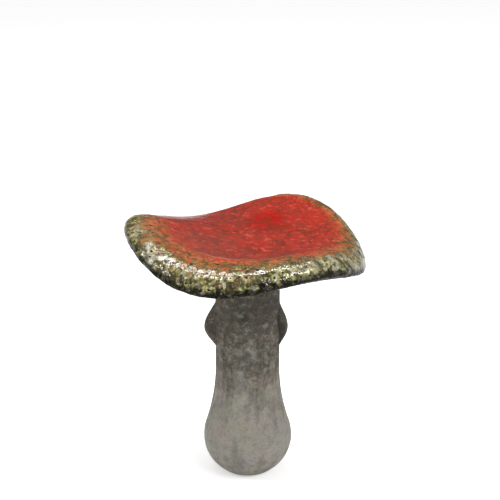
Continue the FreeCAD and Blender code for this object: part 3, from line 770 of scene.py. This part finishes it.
def makeClay(name, lightness=1.0):
    look = clayLook
    clay, tree = newMaterial(name)
    place = millimetres(tree)
    up = addNode(tree, "SeparateXYZ", {0: place}).outputs[2]
    above = between(tree, up, *look["neckCoats"])

    # Noises: long ones that ran down with the wash, and blotches, crust and grit
    long = vectorCalc(tree, "MULTIPLY", place, look["runDown"])
    streak = grain(tree, stirred(tree, long, *look["streakStir"]), *look["streakGrain"])
    wide = grain(tree, long, *look["wideGrain"])
    blotch = grain(tree, stirred(tree, place, *look["blotchStir"]), *look["blotchGrain"])
    crust = grain(tree, stirred(tree, place, *look["crustStir"]), *look["crustGrain"])
    fine = grain(tree, place, *look["fineGrain"])

    # The wash is pale on the bulb and darker up the neck, and the foot is darkened again as painted shade
    washAndShade = calc(tree, "DIVIDE", up, look["top"])
    washAndShade = calc(tree, "ADD", washAndShade, swing(tree, streak, look["streakSwing"]))
    washAndShade = calc(tree, "ADD", washAndShade, swing(tree, wide, look["wideSwing"]))
    washAndShade = calc(tree, "ADD", washAndShade, swing(tree, blotch, between(tree, up, *look["blotchSwing"])))
    color = colorRamp(tree, washAndShade, [(share, lighter(look[tone], lightness * factor))
                                   for share, tone, factor in look["washAndShade"]])
    # The first stain is painted shade in the hollow where the skirt's top meets the stem
    ragged = stirred(tree, stirred(tree, place, *look["stainStir"]), *look["stainFineStir"])
    for across, height, reach, amount, level in look["stainsAndShade"]:
        out = look["stainIn"] - math.sqrt(look["stainOut"] ** 2 - across ** 2)
        color = spot(tree, color, ragged, (across, out, height), reach, look["stainSpread"], amount,
                     lighter(look["stainTone"], level))
    for coat, value, where in (("crumb", crust, above), ("chalk", crust, above),
                               ("shade", fine, None), ("bloom", fine, None)):
        start, full, amount, tone, factor = look[coat]
        color = lay(tree, color, value, (start, full, amount, lighter(look[tone], lightness * factor)), where)

    # Faint tints, painted shade in the skirt's folds and single specks
    drift = grain(tree, stirred(tree, place, *look["tintStir"]), *look["tintGrain"], "Color")
    shares = addNode(tree, "SeparateColor", {0: drift})
    for output, tone in enumerate(look["tints"]):
        tinted = mixColor(tree, 1.0, color, lighter(tone, 1 / look["tintBase"]), "MULTIPLY")
        color = mixColor(tree, between(tree, shares.outputs[output], *look["tintLevels"]), color, tinted)
    color = mixColor(tree, surfaceValue(tree, "paintedFoldShade"), color, look["foldShade"])
    specks = cells(tree, place, look["speckSize"]).outputs["Distance"]
    speck = times(tree, between(tree, specks, *look["speckEdge"]), between(tree, fine, *look["speckPlaces"]))
    color = mixColor(tree, speck, color, look["dark"])

    crumbs = times(tree, between(tree, crust, *look["crumb"][:2]), above)
    bumps = calc(tree, "ADD", times(tree, fine, look["fineBump"]), times(tree, streak, look["streakBump"]))
    bumps = calc(tree, "SUBTRACT", bumps, times(tree, crumbs, look["crumbCut"]))
    finishMaterial(tree, color, between(tree, fine, *look["rough"]), bumps, look["bumpDepth"], look["shine"])
    return clay


clay = makeClay("washedClay")
stem = makeStem()
stem.data.materials.append(clay)
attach(stem, "root")
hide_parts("stem")
print("stem turned:", len(stem.data.polygons), "faces")


# The pleated skirt: its folds stand out beside and behind a flat panel over the front

skirtForm = {
    "neck": stemForm["neck"], "top": 137.6, "widest": 116.6, "low": 102.2, "sunk": 1.6, "tuck": 0.6,
    "reach": 4.4, "ears": 1.9, "lean": 1.45, "pleat": 1.2, "pleats": 8, "pleatPower": 1.5,
    "crease": 0.5, "creaseTurns": 5.5, "creaseLength": 160.0, "upperPower": 1.4,
    "steps": 480, "rows": 28, "shrink": 0.985, "deepest": -0.5,
    "front": 270.0, "leftEdge": 70.0, "rightEdge": 67.0, "edgeWidth": 6.0,
    "sway": 5.0, "swayLength": 9.0, "slant": 0.12,
    "panel": 0.9, "panelRipple": 9.0, "panelRise": 14.0, "panelLength": 30.0,
    "edgeLift": 0.9, "edgeLiftFrom": 14.0, "edgeLiftTo": 1.0,
    "gap": 1.3, "gapOff": 2.5, "gapWidth": 3.4,
    # The painted shadow beside the panel's edge, and how much painted shade the folds get at the left and at
    # most
    "shadow": 1.3, "shadowOff": 6.0, "shadowWidth": 7.5, "shadowTop": (128.0, 116.0),
    "leftFoldShade": 0.1, "mostFoldShade": 0.85,
}


def skirtFlare(up):
    # How much of the folds' reach there is at this height: full at the widest, none at both ends
    form = skirtForm
    if up > form["widest"]:
        share = (up - form["widest"]) / (form["top"] - form["widest"])
        return max(math.cos(share * math.pi / 2), 0) ** form["upperPower"]
    share = (form["widest"] - up) / (form["widest"] - form["low"])
    return max(math.cos(share * math.pi / 2), 0)


def skirtFold(up, angle):
    # The folds' reach beyond the neck
    form = skirtForm
    fold = math.cos(form["pleats"] * angle)
    around = Vector((math.cos(angle), math.sin(angle), up / form["creaseLength"]))
    small = 0.5 + noise.noise(around * form["creaseTurns"])
    reach = form["reach"] + form["ears"] * math.cos(2 * angle) - form["lean"] * math.cos(angle)
    return reach + form["pleat"] * (fold if fold < 0 else fold ** form["pleatPower"]) - form["crease"] * small


def makeSkirt():
    form = skirtForm
    inside = form["neck"] - form["sunk"]
    profile = [(inside, form["top"])]
    for row in range(form["rows"] + 1):
        profile.append((form["neck"], form["top"] - (form["top"] - form["low"]) * row / form["rows"]))
    profile += [(inside, form["low"]), (inside, form["top"])]
    skirt = turnPiece("skirtFolds", profile, form["steps"])
    foldShade = []
    for vertex in skirt.data.vertices:
        foldShade.append(0.0)
        if math.hypot(vertex.co.x, vertex.co.y) / mm < form["neck"] - form["sunk"] / 2:
            continue
        angle = math.atan2(vertex.co.y, vertex.co.x)
        up = vertex.co.z / mm
        flare = skirtFlare(up)

        # How far this point is from the middle of the front, and from the panel's edge
        off = turnFrom(form["front"], angle) + form["slant"] * (up - form["widest"])
        off += form["sway"] * noise.noise(Vector((0, 3.7, up / form["swayLength"])))
        side = abs(off)
        edge = form["rightEdge"] if off > 0 else form["leftEdge"]
        behind = smoothStep(edge, edge + form["edgeWidth"], side)
        around = off / form["panelRipple"] + up / form["panelRise"]
        ripple = 0.5 + 0.5 * noise.noise(Vector((around, up / form["panelLength"], 2.0)))
        lift = smoothStep(edge - form["edgeLiftFrom"], edge - form["edgeLiftTo"], side)
        flat = form["panel"] * ripple + form["edgeLift"] * lift
        groove = bell(side - edge - form["gapOff"], form["gapWidth"])
        reach = flat * (1 - behind) + skirtFold(up, angle) * behind - form["gap"] * groove

        # Painted shade in the groove, with a painted shadow beside the panel's edge at the right and only a
        # little shade at the left
        shadow = bell(side - edge - form["shadowOff"], form["shadowWidth"]) * smoothStep(*form["shadowTop"], up)
        depth = groove + form["shadow"] * shadow if off > 0 else form["leftFoldShade"] * groove
        foldShade[-1] = min(flare * depth, form["mostFoldShade"])
        reach = max(reach * form["shrink"], form["deepest"])
        radius = form["neck"] - form["tuck"] + flare * (reach + form["tuck"])
        vertex.co.x = radius * math.cos(angle) * mm
        vertex.co.y = radius * math.sin(angle) * mm
    # The painted shade goes with the mesh for the clay
    storeValues(skirt, "paintedFoldShade", foldShade)
    skirt.data.update()
    return skirt


skirt = makeSkirt()
skirt.data.materials.append(clay)
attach(skirt, "root")
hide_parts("skirt")
print("skirt folded:", len(skirt.data.polygons), "faces")


# The hidden clay pieces keep their solids and get rough fired clay

hiddenClay = {"cap_underside": 1.6, "neck_joint": 0.8}  # how light each one is

for node, lightness in hiddenClay.items():
    solid = bpy.data.objects[node]
    solid.data.materials.clear()
    solid.data.materials.append(makeClay(node + "Clay", lightness))
print("clay on the hidden pieces")


# Floor, lights and camera

studio = {
    "floor": (0.95, 0.95, 0.95), "floorSize": 8.0, "floorRough": 0.9,
    "glow": 0.39, "seen": 1.0, "mirrored": 0.09, "lighting": 0.55, "aim": (0, 0, 0.15),
    "lights": [
        # name, place, width, depth, power
        ("topBox", (-0.08, 0.22, 1.12), 0.80, 0.08, 7.4),
        ("rightBox", (0.66, -0.62, 0.82), 0.80, 0.08, 5.5),
        ("leftBox", (-0.95, -0.25, 0.75), 0.10, 0.36, 2.4),
    ],
}


def addLight(name, place, width, depth, power):
    pickNothing()
    bpy.ops.object.light_add(type="AREA", location=place)
    lamp = bpy.context.object
    lamp.name = name
    lamp.data.shape = "RECTANGLE"
    lamp.data.size = width
    lamp.data.size_y = depth
    lamp.data.energy = power
    aim = Vector(studio["aim"]) - Vector(place)
    lamp.rotation_euler = aim.to_track_quat("-Z", "Y").to_euler()


def forRays(tree, kind, others, these):
    # One value for this kind of ray and another for the rest
    rays = addNode(tree, "LightPath").outputs[kind]
    return between(tree, rays, 0.0, 1.0, others, these, "LINEAR")


def makeStudio():
    pickNothing()
    bpy.ops.mesh.primitive_plane_add(size=studio["floorSize"], location=(0, 0, 0))
    floor = bpy.context.object
    floor.name = "floor"
    paper, tree = newMaterial("palePaper")
    glow = forRays(tree, "Is Glossy Ray", studio["glow"], 0.0)
    shader = addNode(tree, "BsdfPrincipled", {
        "Base Color": (*studio["floor"], 1), "Roughness": studio["floorRough"],
        "Emission Color": (1, 1, 1, 1), "Emission Strength": glow})
    out = addNode(tree, "OutputMaterial")
    tree.links.new(shader.outputs[0], out.inputs["Surface"])
    floor.data.materials.append(paper)
    for light in studio["lights"]:
        addLight(*light)
    world = bpy.data.worlds.new("studioRoom")
    world.use_nodes = True
    bpy.context.scene.world = world
    tree = world.node_tree
    tree.nodes.clear()
    mirrored = forRays(tree, "Is Glossy Ray", studio["lighting"], studio["mirrored"])
    strength = forRays(tree, "Is Camera Ray", mirrored, studio["seen"])
    back = addNode(tree, "Background", {"Color": (1, 1, 1, 1), "Strength": strength})
    out = addNode(tree, "OutputWorld")
    tree.links.new(back.outputs[0], out.inputs["Surface"])


view = {"aim": (1.85, 0.0, 177.4), "distance": 1300.0, "elevation": 20.0,
        "lens": 126.5, "sensor": 36.0, "nearest": 50.0}


def makeCamera():
    pickNothing()
    tilt = math.radians(view["elevation"])
    aim = Vector(view["aim"]) * mm
    place = aim + Vector((0, -math.cos(tilt), math.sin(tilt))) * view["distance"] * mm
    bpy.ops.object.camera_add(location=place, rotation=(math.pi / 2 - tilt, 0, 0))
    camera = bpy.context.object
    camera.data.lens = view["lens"]
    camera.data.sensor_width = view["sensor"]
    camera.data.clip_start = view["nearest"] * mm
    bpy.context.scene.camera = camera


makeStudio()
makeCamera()
bpy.context.scene.view_settings.view_transform = "Standard"
print("studio lit")
